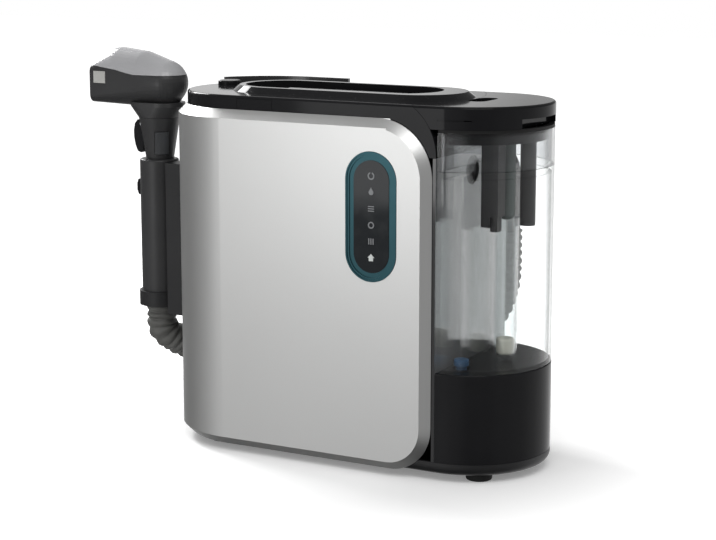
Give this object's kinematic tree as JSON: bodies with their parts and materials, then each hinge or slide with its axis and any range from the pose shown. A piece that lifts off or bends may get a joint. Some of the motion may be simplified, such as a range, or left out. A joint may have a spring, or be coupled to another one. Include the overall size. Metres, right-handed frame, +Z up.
{
  "type": "steam spot cleaner",
  "caption": "Slim upright steam and suction spot cleaner with a clear lift-out tank, a hand well with a grip bar, and a docked pistol tool on a ribbed hose.",
  "frame": {"origin": "middle of the bounding box's bottom, on the surface the feet stand on", "axes": "+Z up; -Y out of the silver front; +X towards the clear tank, -X towards the hand tool"},
  "size_m": [0.502, 0.2068, 0.3849],
  "materials": {
    "silver_shell": "satin silver lacquer with a fine metal flake",
    "gloss_black": "polished black, faint fine scratches",
    "satin_black": "fine textured black plastic",
    "dark_cover": "fine textured dark grey plastic",
    "teal_ring": "dark teal metallic lacquer",
    "panel_glass": "polished black panel",
    "icon_white": "printed white, lit from behind",
    "board_green": "circuit board with clear light pipes",
    "motor_grey": "cast, with a wound core",
    "rotor_metal": "pressed blades",
    "duct_grey": "plain moulded plastic",
    "pump_grey": "plain moulded plastic",
    "boiler_metal": "cast aluminium",
    "steam_pipe": "silicone hose",
    "screw_steel": "zinc plated",
    "foot_rubber": "matte rubber",
    "hose_rubber": "ribbed dark grey, slight sheen",
    "tank_clear": "clear plastic",
    "tank_smoke": "smoked clear plastic",
    "clear_inner": "clear plastic",
    "tank_gasket": "soft black gasket",
    "tank_tube_black": "black plastic",
    "tube_grey": "grey green plastic",
    "valve_blue": "blue plastic",
    "float_cream": "cream foam plastic",
    "tool_dark": "fine textured dark plastic",
    "tool_light": "glossy grey cover",
    "tool_clear": "frosted window",
    "tool_soft": "soft grip strip",
    "jet_brass": "plain brass",
    "button_black": "polished black",
    "key_grey": "dark grey key"
  },
  "bodies": {
    "housing": {"base_tray": "satin_black", "feet": "foot_rubber", "front_shell": "silver_shell", "rear_cover": "dark_cover", "side_panel": "gloss_black", "tank_plinth": "gloss_black", "top_cover": "gloss_black", "carry_handle": "gloss_black", "skirt_insert": "gloss_black", "power_switch": "duct_grey", "control_bezel": "teal_ring", "control_glass": "panel_glass", "control_icons": "icon_white", "control_board": "board_green", "motor_casing": "motor_grey", "fan_volute": "duct_grey", "suction_duct": "duct_grey", "pump": "pump_grey", "boiler": "boiler_metal", "steam_line": "steam_pipe", "exhaust_grille": "satin_black", "cover_screws": "screw_steel", "cord_inlet": "foot_rubber", "upper_hook": "satin_black", "hose_cradles": "satin_black", "hose_socket": "satin_black", "hose_elbow": "satin_black", "hose_end_cuff": "satin_black", "hose": "hose_rubber", "dock": "satin_black"},
    "fan_rotor": {"fan_rotor": "rotor_metal"},
    "power_button": {"power_button": "button_black"},
    "tank": {"tank_cup": "tank_clear", "tank_collar": "tank_smoke", "tank_seal": "tank_gasket", "lid_frame": "gloss_black", "tank_lid": "gloss_black", "tank_partition": "clear_inner", "tank_valve": "valve_blue", "inlet_column": "tank_tube_black", "separator_tube": "tube_grey", "float_guide": "clear_inner"},
    "tank_float": {"tank_float": "float_cream"},
    "hand_tool": {"tool_grip_front": "tool_dark", "tool_grip_rear": "tool_dark", "tool_head": "tool_dark", "tool_head_cover": "tool_light", "tool_window": "tool_clear", "tool_jet": "jet_brass", "tool_strip": "tool_soft", "tool_cuff": "tool_dark", "trigger_pin": "screw_steel"},
    "tool_trigger": {"tool_trigger": "button_black"},
    "tool_release": {"tool_release": "key_grey"},
    "tool_steam_switch": {"tool_switch": "button_black"}
  },
  "joints": [
    {"name": "fan_spin", "type": "hinge", "parent": "housing", "child": "fan_rotor", "pos_m": [0.016, -0.0168, 0.136], "axis": [0, 0, 1], "continuous": true},
    {"name": "power_press", "type": "slide", "parent": "housing", "child": "power_button", "axis": [0, 0, -1], "range_m": [0, 0.0025], "stiffness_N_per_m": 700, "springref_m": -0.0015},
    {"name": "tank_lift", "type": "slide", "parent": "housing", "child": "tank", "axis": [0, 0, 1], "range_m": [0, 0.08]},
    {"name": "float_rise", "type": "slide", "parent": "tank", "child": "tank_float", "axis": [0, 0, 1], "range_m": [0, 0.106]},
    {"name": "tool_lift", "type": "slide", "parent": "housing", "child": "hand_tool", "axis": [0, 0, 1], "range_m": [0, 0.025]},
    {"name": "trigger_pull", "type": "hinge", "parent": "hand_tool", "child": "tool_trigger", "pos_m": [-0.193, -0.0168, 0.309], "axis": [0, -1, 0], "range_deg": [0, 8], "stiffness_Nm_per_rad": 0.3, "springref_deg": -8.59},
    {"name": "release_press", "type": "slide", "parent": "hand_tool", "child": "tool_release", "axis": [-0.6626, 0.749, 0], "range_m": [0, 0.002], "stiffness_N_per_m": 500, "springref_m": -0.0015},
    {"name": "steam_switch_slide", "type": "slide", "parent": "hand_tool", "child": "tool_steam_switch", "axis": [0, 0, 1], "range_m": [0, 0.004]}
  ]
}
